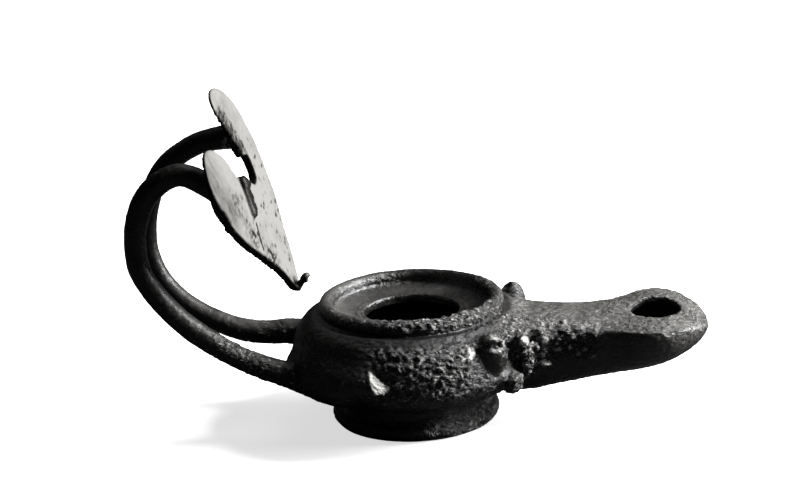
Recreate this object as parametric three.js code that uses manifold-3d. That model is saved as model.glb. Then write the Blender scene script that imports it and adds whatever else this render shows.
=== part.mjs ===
// Roman bronze oil lamp: a hollow bowl on a turned foot, a long spatulate nozzle with scrolls
// at its root, and a handle of two bent strands that carry a heart-shaped leaf over the bowl.
//
// Millimetres, +Z up. The origin is the middle of the foot's underside. +X points along the
// nozzle and +Y is the lamp's left side as one looks along the nozzle.

import * as THREE from 'three';
import { mergeVertices } from 'three/addons/utils/BufferGeometryUtils.js';
import Module from 'manifold-3d';

const wasm = await Module();
wasm.setup();

// ---- driving dimensions ---------------------------------------------------------------

const WALL = 2.6;                 // casting's wall thickness
const GAP = 0.3;                  // clearance between pieces that are soldered together

const FOOT_RADIUS = 25.5;
const FOOT_TORUS = 2.4;           // radius of the half-round moulding round the foot
const FOOT_SEAT_RADIUS = 24.0;    // outer radius of the flat ring that the lamp stands on
const FOOT_NECK_RADIUS = 23.3;
const FOOT_NECK_Z = 9.2;
const FOOT_RECESS_RADIUS = 20.5;
const FOOT_RECESS_DEPTH = 2.4;
const FOOT_BUTTON_RADIUS = 4.0;   // flat button in the middle, level with the seat
const FOOT_RING_RADIUS = 12.3;    // low turned ring inside the recess
const FOOT_RING_HEIGHT = 0.9;

const BOWL_RADIUS = 36.8;
const BOWL_GIRTH_Z = 20.5;
const BOWL_FLOOR_Z = 6.6;

const LIP_RADIUS = 25.7;          // middle of the rounded lip round the filling dish
const LIP_TUBE = 2.2;
const LIP_TOP_Z = 38.5;
const DISH_EDGE_Z = 34.6;
const DISH_RING_RADIUS = 15.8;
const DISH_RING_Z = 34.1;
const DISH_LOW_Z = 33.1;
const FILLING_HOLE_RADIUS = 14.4;

const NOZZLE_TIP_X = 89.0;
const NOZZLE_ROOT_X = 20.0;
const NOZZLE_TWIST = THREE.MathUtils.degToRad(5.5);
const WICK_HOLE_X = 73.4;
const WICK_HOLE_RADIUS = 7.3;

const STRAND_SIDE = 17.0;         // distance of each handle strand from the lamp's middle plane
const STRAND_RADIUS = 3.35;

const LEAF_THICKNESS = 2.1;
const LEAF_TIP = new THREE.Vector3(-34.7, 7.0, 39.6);
const LEAF_LEAN = THREE.MathUtils.degToRad(19);    // face tips back from the vertical
const LEAF_YAW = THREE.MathUtils.degToRad(-6);     // face turns toward the right side
const LEAF_ROLL = THREE.MathUtils.degToRad(14);    // leaf turns in its own plane

const LATHE_SEGMENTS = 42;
const PEG_SEGMENTS = 12;
const NOZZLE_SIDES = 22;
const STRAND_SIDES = 10;
const STRAND_STEPS = 27;

// ---- helpers ----------------------------------------------------------------------------

const v2 = (x, y) => new THREE.Vector2(x, y);
const v3 = (x, y, z) => new THREE.Vector3(x, y, z);

// Closed triangle mesh to solid.
function solid(geometry) {
  const bare = geometry.clone();
  bare.deleteAttribute('normal');
  bare.deleteAttribute('uv');
  const merged = mergeVertices(bare, 1e-4);
  return new wasm.Manifold(new wasm.Mesh({
    numProp: 3,
    vertProperties: new Float32Array(merged.attributes.position.array),
    triVerts: new Uint32Array(merged.index.array),
  }));
}

// Solid back to a three.js geometry.
function geometryOf(body) {
  const mesh = body.getMesh();
  const geometry = new THREE.BufferGeometry();
  geometry.setAttribute('position', new THREE.BufferAttribute(mesh.vertProperties, 3));
  geometry.setIndex(new THREE.BufferAttribute(mesh.triVerts, 1));
  geometry.computeVertexNormals();
  return geometry;
}

const union = (solids) => solids.reduce((sum, next) => sum.add(next));

// Closed skin through rings of equal length, with a fan over each end.
function loft(rings) {
  const count = rings[0].length;
  const points = rings.flat();
  const index = [];
  for (let i = 0; i + 1 < rings.length; i += 1) {
    for (let j = 0; j < count; j += 1) {
      const k = (j + 1) % count;
      const a = i * count + j;
      const b = i * count + k;
      index.push(a, b, a + count, b, b + count, a + count);
    }
  }
  const middle = (ring) => ring.reduce((sum, p) => sum.add(p), v3(0, 0, 0)).divideScalar(count);
  const last = (rings.length - 1) * count;
  const start = points.push(middle(rings[0])) - 1;
  const end = points.push(middle(rings.at(-1))) - 1;
  for (let j = 0; j < count; j += 1) {
    const k = (j + 1) % count;
    index.push(start, k, j);
    index.push(end, last + j, last + k);
  }
  return new THREE.BufferGeometry().setFromPoints(points).setIndex(index);
}

// Smooth value along x through a few stations [x, value].
function through(stations) {
  const curve = new THREE.SplineCurve(stations.map(([x, value]) => v2(x, value)));
  const samples = curve.getPoints(stations.length * 24);
  return (x) => {
    const after = samples.findIndex((p) => p.x >= x);
    if (after <= 0) return samples.at(after === 0 ? 0 : -1).y;
    const [low, high] = [samples[after - 1], samples[after]];
    return THREE.MathUtils.mapLinear(x, low.x, high.x, low.y, high.y);
  };
}

function arc(centre, radius, from, to, steps) {
  return Array.from({ length: steps + 1 }, (_, i) => {
    const angle = THREE.MathUtils.degToRad(THREE.MathUtils.lerp(from, to, i / steps));
    return v2(centre.x + radius * Math.cos(angle), centre.y + radius * Math.sin(angle));
  });
}

// Lathe about the lamp's upright axis; the profile runs from axis to axis, outside upward.
function turned(profile) {
  const geometry = new THREE.LatheGeometry(profile, LATHE_SEGMENTS);
  return solid(geometry.rotateX(Math.PI / 2));
}

// ---- bowl, foot and dish ------------------------------------------------------------------

// Outer wall of the bowl from the neck over the foot up to the groove under the lip.
function bowlWall(steps) {
  return new THREE.SplineCurve([
    v2(FOOT_NECK_RADIUS + 0.7, FOOT_NECK_Z + 0.7),
    v2(28.8, 11.2),
    v2(33.6, 14.2),
    v2(36.0, 17.2),
    v2(BOWL_RADIUS, BOWL_GIRTH_Z),
    v2(36.5, 24.4),
    v2(35.2, 28.6),
    v2(32.8, 32.2),
    v2(29.8, 34.4),
  ]).getPoints(steps);
}

function footProfile() {
  const torus = v2(FOOT_RADIUS - FOOT_TORUS, FOOT_TORUS + 0.2);
  const ringTop = FOOT_RECESS_DEPTH - FOOT_RING_HEIGHT;
  return [
    v2(0, 0),
    v2(FOOT_BUTTON_RADIUS, 0),
    v2(FOOT_BUTTON_RADIUS + 1.2, FOOT_RECESS_DEPTH),
    v2(FOOT_RING_RADIUS - 1.3, FOOT_RECESS_DEPTH),
    v2(FOOT_RING_RADIUS - 0.5, ringTop),
    v2(FOOT_RING_RADIUS + 0.5, ringTop),
    v2(FOOT_RING_RADIUS + 1.3, FOOT_RECESS_DEPTH),
    v2(FOOT_RECESS_RADIUS - 0.6, FOOT_RECESS_DEPTH),
    v2(FOOT_RECESS_RADIUS, 0),
    v2(FOOT_SEAT_RADIUS, 0),
    ...arc(torus, FOOT_TORUS, -45, 70, 4),
    v2(FOOT_NECK_RADIUS, FOOT_NECK_Z - 2.6),
    v2(FOOT_NECK_RADIUS, FOOT_NECK_Z),
  ];
}

function lipAndDishProfile() {
  const lip = v2(LIP_RADIUS, LIP_TOP_Z - LIP_TUBE);
  return [
    v2(27.6, 34.2),
    ...arc(lip, LIP_TUBE, -30, 180, 7),
    v2(LIP_RADIUS - LIP_TUBE, DISH_EDGE_Z + 0.4),
    v2(LIP_RADIUS - LIP_TUBE - 0.6, DISH_EDGE_Z),
    v2(19.5, DISH_LOW_Z + 0.5),
    v2(DISH_RING_RADIUS + 0.5, DISH_LOW_Z),
    v2(DISH_RING_RADIUS, DISH_RING_Z),
    v2(0, DISH_RING_Z),
  ];
}

const bowlOutside = () => turned([...footProfile(), ...bowlWall(14), ...lipAndDishProfile()]);

// Space inside the bowl, with the filling hole on top.
function bowlCavity() {
  const outer = bowlWall(10);
  const inner = outer.slice(1, -1).map((point, i) => {
    const along = outer[i + 2].clone().sub(outer[i]).normalize();
    return point.clone().add(v2(-along.y, along.x).multiplyScalar(WALL));
  });
  return turned([
    v2(0, BOWL_FLOOR_Z),
    v2(FOOT_NECK_RADIUS - 6.0, BOWL_FLOOR_Z + 0.3),
    v2(FOOT_NECK_RADIUS - 2.0, BOWL_FLOOR_Z + 2.6),
    ...inner,
    v2(23.0, DISH_EDGE_Z - WALL),
    v2(FILLING_HOLE_RADIUS, DISH_LOW_Z - WALL + 0.2),
    v2(FILLING_HOLE_RADIUS, LIP_TOP_Z),
    v2(0, LIP_TOP_Z),
  ]);
}

// ---- nozzle -------------------------------------------------------------------------------

const nozzleHalfWidth = through([
  [NOZZLE_ROOT_X, 20.0], [28, 18.2], [36, 15.4], [44, 13.4], [52, 12.8], [59, 13.3], [65, 15.6],
  [70, 17.5], [75, 17.8], [79, 16.2], [83, 12.8], [86.3, 8.8], [88.4, 4.6], [NOZZLE_TIP_X, 1.6],
]);
const nozzleTop = through([
  [NOZZLE_ROOT_X, 31.0], [34, 32.2], [44, 31.9], [55, 31.5], [63, 31.7], [70, 32.4], [77, 32.4],
  [82, 31.6], [86.3, 30.0], [88.4, 28.3], [NOZZLE_TIP_X, 27.4],
]);
const nozzleBottom = through([
  [NOZZLE_ROOT_X, 10.0], [34, 8.6], [44, 10.0], [56, 12.4], [68, 15.4], [76, 17.8], [82, 20.2],
  [86.3, 22.8], [88.4, 25.0], [NOZZLE_TIP_X, 26.2],
]);

// Section across the nozzle: a slightly crowned top, upright shoulders, an undercut belly.
function nozzleRing(x, inset) {
  const half = Math.max(nozzleHalfWidth(x) - inset, 0.4);
  const top = nozzleTop(x) - inset;
  const bottom = nozzleBottom(x) + inset;
  const shoulder = THREE.MathUtils.lerp(top, bottom, 0.16);
  const twist = NOZZLE_TWIST * THREE.MathUtils.smoothstep(x, 40, 70);
  return Array.from({ length: NOZZLE_SIDES }, (_, i) => {
    const angle = (2 * Math.PI * i) / NOZZLE_SIDES;
    const [c, s] = [Math.cos(angle), Math.sin(angle)];
    const y = half * Math.sign(c) * Math.abs(c) ** (s > 0 ? 0.55 : 0.75);
    const rise = s > 0 ? (top - shoulder) * s ** 0.75 : (bottom - shoulder) * Math.abs(s);
    return v3(x, y * Math.cos(twist), shoulder + rise + y * Math.sin(twist));
  });
}

function nozzleSkin(stations, inset) {
  return solid(loft(stations.map((x) => nozzleRing(x, inset))));
}

function nozzleOutside() {
  const stations = [20, 28, 34, 39, 44, 50, 56, 61, 65, 69, 73, 77, 80, 83, 85.2, 87, 88.3, 89];
  return nozzleSkin(stations, 0);
}

const nozzleChannel = () => nozzleSkin([24, 30, 38, 46, 54, 60, 65, 70, 75, 79, 82, 84.2], WALL);

function wickHole() {
  const hole = new THREE.CylinderGeometry(WICK_HOLE_RADIUS, WICK_HOLE_RADIUS, 14, 28);
  return solid(hole.rotateX(Math.PI / 2).translate(WICK_HOLE_X, 0, 32));
}

// ---- scrolls at the nozzle's root -----------------------------------------------------------

// Upright round-ended peg, the stub that a corroded coil or bud has become.
function peg(x, y, low, high, radius) {
  const cap = radius * 0.7;
  const rounded = (z, from, to) => arc(v2(0, 0), 1, from, to, 3)
    .map((point) => v2(Math.abs(point.x) * radius, z + point.y * cap));
  const profile = [...rounded(low + cap, -90, 0), ...rounded(high - cap, 0, 90)];
  profile[0].x = 0;
  profile.at(-1).x = 0;
  const geometry = new THREE.LatheGeometry(profile, PEG_SEGMENTS).rotateX(Math.PI / 2);
  return solid(geometry.translate(x, y, 0));
}

// The two scrolls differ a little: each has a coil, two buds along the nozzle and a drop below.
const rightScroll = () => [
  peg(25.4, -24.6, 20.5, 33.0, 4.3),
  peg(33.2, -18.4, 24.0, 32.4, 3.4),
  peg(39.6, -14.2, 26.0, 31.6, 2.4),
  peg(29.6, -19.4, 12.8, 26.0, 3.7),
];

const leftScroll = () => [
  peg(29.2, 23.2, 20.5, 34.8, 4.3),
  peg(35.4, 17.6, 24.0, 31.2, 3.2),
  peg(41.0, 13.8, 26.0, 30.8, 2.4),
  peg(31.4, 19.2, 12.8, 26.0, 3.7),
];

// ---- handle strands ---------------------------------------------------------------------------

// Round bar along a smooth path, thicker where it is worked onto the bowl and the leaf.
function strand(path, side) {
  const curve = new THREE.CatmullRomCurve3(path.map(([x, z]) => v3(x, side * STRAND_SIDE, z)));
  const across = v3(0, 1, 0);
  const rings = Array.from({ length: STRAND_STEPS + 1 }, (_, i) => {
    const t = i / STRAND_STEPS;
    const spot = curve.getPointAt(t);
    const out = curve.getTangentAt(t).cross(across).normalize();
    const foot = 1 - THREE.MathUtils.smoothstep(t, 0.0, 0.3);
    const head = THREE.MathUtils.smoothstep(t, 0.82, 1.0);
    const radius = STRAND_RADIUS * (1 + 0.24 * foot + 0.2 * head);
    return Array.from({ length: STRAND_SIDES }, (_, j) => {
      const angle = (2 * Math.PI * j) / STRAND_SIDES;
      return spot.clone()
        .addScaledVector(out, radius * Math.cos(angle))
        .addScaledVector(across, -radius * Math.sin(angle));
    });
  });
  return solid(loft(rings));
}

const RIGHT_PATH = [
  [-26, 16.2], [-38.6, 20.4], [-47.4, 23.7], [-56.4, 28.8], [-65.6, 35.6], [-73.8, 44.7],
  [-78.5, 53.2], [-79.3, 61.4], [-77.8, 69.8], [-73.4, 77.6], [-64.8, 82.2], [-56.4, 78.9],
  [-48.5, 73.0],
];

const LEFT_PATH = [
  [-26, 21.2], [-40, 22.0], [-49.4, 22.0], [-59.4, 24.6], [-71.8, 31.8], [-78.8, 39.8],
  [-81.9, 47.4], [-82.4, 56.6], [-79.6, 68.4], [-73.8, 77.2], [-65.2, 82.8], [-56.6, 84.8],
  [-47.0, 84.8],
];

// ---- leaf ---------------------------------------------------------------------------------------

// Placement of the leaf: its local X runs across to the left lobe, Y from tip to lobes, and Z
// out of the lit face.
function leafFrame() {
  const face = v3(
    Math.cos(LEAF_LEAN) * Math.cos(LEAF_YAW),
    Math.cos(LEAF_LEAN) * Math.sin(LEAF_YAW),
    Math.sin(LEAF_LEAN),
  );
  const left = v3(0, 0, 1).cross(face).normalize();
  const up = face.clone().cross(left);
  const frame = new THREE.Matrix4().makeBasis(left, up, face);
  frame.multiply(new THREE.Matrix4().makeRotationZ(LEAF_ROLL));
  return frame.setPosition(LEAF_TIP);
}

// Heart outline from the tip up the left lobe, through the notch and down the right lobe.
function leafShape() {
  const shape = new THREE.Shape();
  shape.moveTo(1.4, -1.9);
  shape.splineThru([
    v2(5.0, 2.6), v2(12.3, 12.4), v2(20.4, 24.2), v2(24.2, 35.6), v2(25.9, 44.5), v2(24.4, 54.8),
    v2(19.2, 61.8), v2(12.4, 65.6), v2(7.8, 64.8), v2(6.4, 60.0), v2(8.6, 51.5), v2(10.8, 42.6),
  ]);
  shape.lineTo(14.2, 41.0);
  shape.splineThru([v2(13.8, 37.0), v2(11.6, 33.8), v2(7.6, 33.8), v2(4.0, 37.0), v2(-1.0, 39.6)]);
  shape.splineThru([
    v2(-3.6, 43.5), v2(-5.4, 50.0), v2(-10.0, 56.0), v2(-17.6, 59.4), v2(-23.6, 56.6),
    v2(-27.4, 49.8), v2(-26.4, 39.6), v2(-21.4, 29.4), v2(-13.0, 19.0), v2(-5.6, 9.4),
    v2(-1.5, 0.6),
  ]);
  shape.closePath();
  return shape;
}

function leaf() {
  const bevel = 0.35;
  const plate = new THREE.ExtrudeGeometry(leafShape(), {
    depth: LEAF_THICKNESS - 2 * bevel,
    curveSegments: 2,
    bevelThickness: bevel,
    bevelSize: bevel,
    bevelOffset: -bevel,
    bevelSegments: 1,
  }).translate(0, 0, bevel - LEAF_THICKNESS);
  const stem = new THREE.BoxGeometry(3.4, 11.5, 3.4).rotateZ(-0.35).translate(-4.6, 35.8, 0.3);
  const neck = new THREE.CylinderGeometry(0.8, 1.3, 4.4, 8).rotateX(Math.PI / 2 - 0.5);
  const curl = new THREE.SphereGeometry(1.9, 10, 6).scale(1.0, 0.75, 1.0);
  return union([
    solid(plate),
    solid(stem),
    solid(neck.translate(0, 0.9, 0.6)),
    solid(curl.translate(0, 2.0, 3.0)),
  ]);
}

// Everything on the leaf's side of the solder line behind it.
function spaceInFrontOfLeafBack() {
  const slab = new THREE.BoxGeometry(160, 160, 40).translate(0, 0, 20 - LEAF_THICKNESS - GAP);
  return solid(slab.applyMatrix4(leafFrame()));
}

// ---- assembly -------------------------------------------------------------------------------------

const bronze = () => new THREE.MeshStandardMaterial({ color: 0x2c2620, roughness: 0.55, metalness: 0.8 });
const wornBronze = () => new THREE.MeshStandardMaterial({ color: 0x8f887a, roughness: 0.6, metalness: 0.6 });

function piece(name, geometry, material) {
  const mesh = new THREE.Mesh(geometry, material);
  mesh.name = name;
  return mesh;
}

const outside = union([bowlOutside(), nozzleOutside(), ...rightScroll(), ...leftScroll()]);
const body = outside.subtract(union([bowlCavity(), nozzleChannel(), wickHole()]));

// The bowl grown sideways by the solder gap, which trims the strands where they meet it.
const growth = 1 + GAP / (0.8 * BOWL_RADIUS);
const grown = solid(geometryOf(bowlOutside()).scale(growth, growth, 1));

const lamp = new THREE.Group();
lamp.name = 'roman_oil_lamp';
lamp.add(piece('lamp_body', geometryOf(body), bronze()));
for (const [name, path, side] of [
  ['handle_strand_right', RIGHT_PATH, -1],
  ['handle_strand_left', LEFT_PATH, 1],
]) {
  const bar = strand(path, side).subtract(grown).subtract(spaceInFrontOfLeafBack());
  lamp.add(piece(name, geometryOf(bar), bronze()));
}

const leafMesh = piece('leaf_reflector', geometryOf(leaf()), wornBronze());
leafMesh.applyMatrix4(leafFrame());
lamp.add(leafMesh);

export default lamp;
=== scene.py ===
"""Looks for a Roman bronze oil lamp: corroded body, two handle strands and a leaf guard.

Every piece is a closed skin drawn over the zero level of a distance field, then roughened.
Lengths inside the builders are millimetres; meshes are made in metres.
"""

import math
from types import SimpleNamespace

import bpy
import numpy as np
from mathutils import Matrix, Vector, noise


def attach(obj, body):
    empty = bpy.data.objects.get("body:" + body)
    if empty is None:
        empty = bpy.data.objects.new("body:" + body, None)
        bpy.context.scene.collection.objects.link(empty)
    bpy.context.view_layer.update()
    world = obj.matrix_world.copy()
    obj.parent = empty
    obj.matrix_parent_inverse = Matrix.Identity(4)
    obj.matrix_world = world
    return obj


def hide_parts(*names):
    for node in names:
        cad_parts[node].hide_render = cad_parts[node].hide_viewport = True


bl_info = {
    "name": "Roman Oil Lamp",
    "version": (1, 0, 0),
    "blender": (4, 5, 0),
    "location": "3D View > Sidebar > Oil Lamp",
    "description": "Builds a corroded bronze oil lamp with a leaf guard, and a stage for it",
    "category": "Object",
}

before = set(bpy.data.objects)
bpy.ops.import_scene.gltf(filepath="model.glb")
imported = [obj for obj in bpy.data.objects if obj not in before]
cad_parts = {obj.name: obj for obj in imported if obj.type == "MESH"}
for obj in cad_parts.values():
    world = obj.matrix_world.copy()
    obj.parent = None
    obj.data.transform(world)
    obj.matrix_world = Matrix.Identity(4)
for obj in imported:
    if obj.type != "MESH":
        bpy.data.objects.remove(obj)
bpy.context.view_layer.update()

MM = 0.001


# ---- settings ------------------------------------------------------------------------------

def length(name, description, millimetres):
    """A length that the sidebar shows in the scene's own units."""
    return bpy.props.FloatProperty(
        name=name, description=description, default=millimetres * MM, min=0.0,
        unit="LENGTH", subtype="DISTANCE", precision=4)


def colour(name, description, value):
    """A linear colour."""
    return bpy.props.FloatVectorProperty(
        name=name, description=description, default=value, size=3, min=0.0, max=1.0,
        subtype="COLOR")


def share(name, description, value, top=1.0):
    """A plain number from nought up."""
    return bpy.props.FloatProperty(name=name, description=description, default=value,
                                   min=0.0, max=top, subtype="FACTOR")


class LampBodySettings(bpy.types.PropertyGroup):
    wall: length("Wall", "Thickness of the casting", 2.6)
    foot_radius: length("Foot radius", "Outer radius of the moulding round the foot", 25.5)
    bowl_radius: length("Bowl radius", "Outer radius of the bowl at its girth", 36.8)
    lip_radius: length("Lip radius", "Radius to the middle of the rounded lip", 25.7)
    lip_tube: length("Lip tube", "Radius of the lip's own round section", 2.2)
    lip_top: length("Lip height", "Height of the lip's top over the ground", 38.5)
    hole_radius: length("Filling hole radius", "Radius of the hole in the dish", 14.4)
    wick_radius: length("Wick hole radius", "Radius of the hole in the nozzle", 7.3)
    relief: length("Corrosion relief", "Height of the crust where corrosion is worst", 1.0)
    strap: length("Strap height", "How far the strap under the handle stands off the bowl", 2.9)
    cell: length("Mesh cell", "Size of the grid that the skin is drawn on", 0.56)


class HandleSettings(bpy.types.PropertyGroup):
    strand_radius: length("Strand radius", "Radius of each bent bar", 3.35)
    strand_side: length("Strand offset", "Distance of each bar from the middle plane", 17.0)
    relief: length("Surface relief", "Unevenness of the bars", 0.22)
    cell: length("Mesh cell", "Size of the grid that the skin is drawn on", 0.45)


class LeafSettings(bpy.types.PropertyGroup):
    thickness: length("Thickness", "Thickness in the middle of the lobes", 2.1)
    relief: length("Surface relief", "Height of dents and pits on the leaf", 0.2)
    cell: length("Mesh cell", "Size of the grid that the skin is drawn on", 0.42)


class FinishSettings(bpy.types.PropertyGroup):
    patina: colour("Dark patina", "Smooth dark patina", (0.0026, 0.0023, 0.0020))
    crust: colour("Crust", "Raised corrosion on the body", (0.43, 0.42, 0.40))
    # Real earthy film that also paints light: the lip's shadow on the dish, highlights on the
    # lip's left and the far strand, and the table's reflection under the nozzle's tip.
    dust: colour("Dust", "Dull earthy film on the surfaces that face up", (0.115, 0.112, 0.106))
    verdigris: colour("Verdigris", "Faint green in the hollows", (0.026, 0.032, 0.026))
    # Colour of the painted highlights on the body and on the far strand's end.
    painted_highlight_colour: colour("Mineral", "Pale deposit on a few spots", (0.71, 0.70, 0.68))
    leaf_face: colour("Leaf face", "Worn metal of the leaf's face", (0.147, 0.144, 0.138))
    polish: share("Polish", "Roughness of the smoothest patina", 0.34)


class StageSettings(bpy.types.PropertyGroup):
    floor: colour("Floor", "Colour of the table", (0.9, 0.9, 0.9))
    bounce: share("Floor bounce", "Share of the table's colour that lights the lamp", 0.05)
    glow: share("Floor lift", "Light that the table adds of its own where it is seen", 0.67, 5.0)
    key_power: share("Key light", "Power of the large light on the right", 104.0, 400.0)
    rear_power: share("Rear light", "Power of the soft light behind and above", 8.0, 400.0)
    sky: share("Surroundings", "Strength of the even light all round", 0.015, 5.0)
    distance: length("Camera distance", "From the camera to the point it looks at", 700.0)


def lengths(settings, **names):
    """Millimetre values of a settings group under short names."""
    return SimpleNamespace(**{short: getattr(settings, long) / MM
                              for short, long in names.items()})


def body_lengths(settings):
    return lengths(settings, bowl="bowl_radius", foot="foot_radius", lip="lip_radius",
                   tube="lip_tube", top="lip_top", hole="hole_radius", wick="wick_radius",
                   wall="wall", relief="relief", strap="strap", cell="cell")


# ---- curves and distances -----------------------------------------------------------------

def smoothstep(x, low, high):
    t = np.clip((np.asarray(x, float) - low) / (high - low), 0.0, 1.0)
    return t * t * (3.0 - 2.0 * t)


def band(x, low, full, fading, gone):
    """1 between full and fading, eased to 0 at low and at gone."""
    return smoothstep(x, low, full) * (1 - smoothstep(x, fading, gone))


def spot(x, y, centre, spread):
    """Soft round spot, 1 at its centre; the spread is in squared units each way."""
    return np.exp(-((x - centre[0]) ** 2 / spread[0] + (y - centre[1]) ** 2 / spread[1]))


def spline(points, steps, even=True):
    """Smooth curve through points; even=False eases it round uneven spacing."""
    points = [np.asarray(p, float) for p in points]
    first, last = points[0], points[-1]
    if not even:
        first, last = 2 * points[0] - points[1], 2 * points[-1] - points[-2]
    run = [first, *points, last]
    out = []
    for i in range(len(points) - 1):
        a, b, c, d = run[i:i + 4]
        if even:
            t0 = t1 = t2 = 1.0
        else:
            t0, t1, t2 = (max(np.linalg.norm(q - p), 1e-6) ** 0.5
                          for p, q in ((a, b), (b, c), (c, d)))
        m1 = ((b - a) / t0 - (c - a) / (t0 + t1) + (c - b) / t1) * t1
        m2 = ((c - b) / t1 - (d - b) / (t1 + t2) + (d - c) / t2) * t1
        for s in np.linspace(0.0, 1.0, steps, endpoint=False):
            out.append(b + m1 * s + (-3 * b + 3 * c - 2 * m1 - m2) * s * s
                       + (2 * b - 2 * c + m1 + m2) * s ** 3)
    out.append(points[-1])
    return np.array(out)


def through(stations):
    """Smooth value along x through a few stations (x, value)."""
    curve = spline(stations, 24)
    order = np.argsort(curve[:, 0])
    return lambda x: np.interp(x, curve[order, 0], curve[order, 1])


def arc(centre, radius, start, end, steps):
    turn = np.radians(np.linspace(start, end, steps + 1))
    return [(centre[0] + radius * math.cos(t), centre[1] + radius * math.sin(t)) for t in turn]


def outline_distance(ring, x, y):
    """Distance from points to a closed outline in a plane, negative inside it."""
    nearest = np.full(x.shape, 1e9)
    inside = np.zeros(x.shape, bool)
    for (ax, ay), (bx, by) in zip(ring, np.roll(ring, -1, axis=0)):
        ex, ey = bx - ax, by - ay
        wx, wy = x - ax, y - ay
        along = np.clip((wx * ex + wy * ey) / max(ex * ex + ey * ey, 1e-12), 0.0, 1.0)
        nearest = np.minimum(nearest, (wx - ex * along) ** 2 + (wy - ey * along) ** 2)
        if ay != by:
            inside ^= ((ay > y) != (by > y)) & (x < ax + (y - ay) / (by - ay) * ex)
    return np.where(inside, -1.0, 1.0) * np.sqrt(nearest)


def line_distance(line, x, y):
    """Distance to an open line in a plane, and how far along it (0 to 1) the nearest point is."""
    steps = np.linalg.norm(np.diff(line, axis=0), axis=1)
    reach = np.concatenate([[0.0], np.cumsum(steps)])
    nearest = np.full(x.shape, 1e9)
    where = np.zeros(x.shape)
    for i in range(len(line) - 1):
        (ax, ay), (bx, by) = line[i], line[i + 1]
        ex, ey = bx - ax, by - ay
        along = np.clip(((x - ax) * ex + (y - ay) * ey) / max(ex * ex + ey * ey, 1e-12), 0, 1)
        gap = (x - ax - ex * along) ** 2 + (y - ay - ey * along) ** 2
        closer = gap < nearest
        nearest = np.where(closer, gap, nearest)
        where = np.where(closer, (reach[i] + along * steps[i]) / reach[-1], where)
    return np.sqrt(nearest), where


def blend(a, b, soft):
    """Union of two fields with a fillet of about the given size."""
    mix = np.clip(0.5 + 0.5 * (b - a) / soft, 0.0, 1.0)
    return b * (1 - mix) + a * mix - soft * mix * (1 - mix)


def carve(a, b, soft):
    """What is left of a after b is taken out of it."""
    return -blend(-a, b, soft)


def lump(grid, centre, radii):
    """Field of a rounded lump."""
    p = [(g - c) / r for g, c, r in zip(grid, centre, radii)]
    q = [(g - c) / (r * r) for g, c, r in zip(grid, centre, radii)]
    k0 = np.sqrt(p[0] ** 2 + p[1] ** 2 + p[2] ** 2) + 1e-9
    k1 = np.sqrt(q[0] ** 2 + q[1] ** 2 + q[2] ** 2) + 1e-9
    return k0 * (k0 - 1.0) / k1


def rod(grid, start, end, radius, far=None):
    """Field of a round-ended rod, tapering to the far radius."""
    start, end = np.asarray(start, float), np.asarray(end, float)
    axis = end - start
    rel = [g - s for g, s in zip(grid, start)]
    along = np.clip((rel[0] * axis[0] + rel[1] * axis[1] + rel[2] * axis[2]) / (axis @ axis), 0, 1)
    gap = np.sqrt(sum((r - a * along) ** 2 for r, a in zip(rel, axis)))
    return gap - (radius + ((radius if far is None else far) - radius) * along)


# ---- skin over a field ----------------------------------------------------------------------

def axes(low, high, cell):
    return [np.arange(a, b + cell, cell) for a, b in zip(low, high)]


def open_grid(xs, ys, zs):
    return xs[:, None, None], ys[None, :, None], zs[None, None, :]


def sample(field, at):
    """Field read between its grid points; at is in grid steps."""
    top = np.array(field.shape) - 2
    base = np.clip(np.floor(at).astype(int), 0, top)
    f = at - base
    i, j, k = base.T
    out = 0.0
    for a in (0, 1):
        for b in (0, 1):
            for c in (0, 1):
                weight = (np.where(a, f[:, 0], 1 - f[:, 0]) * np.where(b, f[:, 1], 1 - f[:, 1])
                          * np.where(c, f[:, 2], 1 - f[:, 2]))
                out = out + weight * field[i + a, j + b, k + c]
    return out


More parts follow.
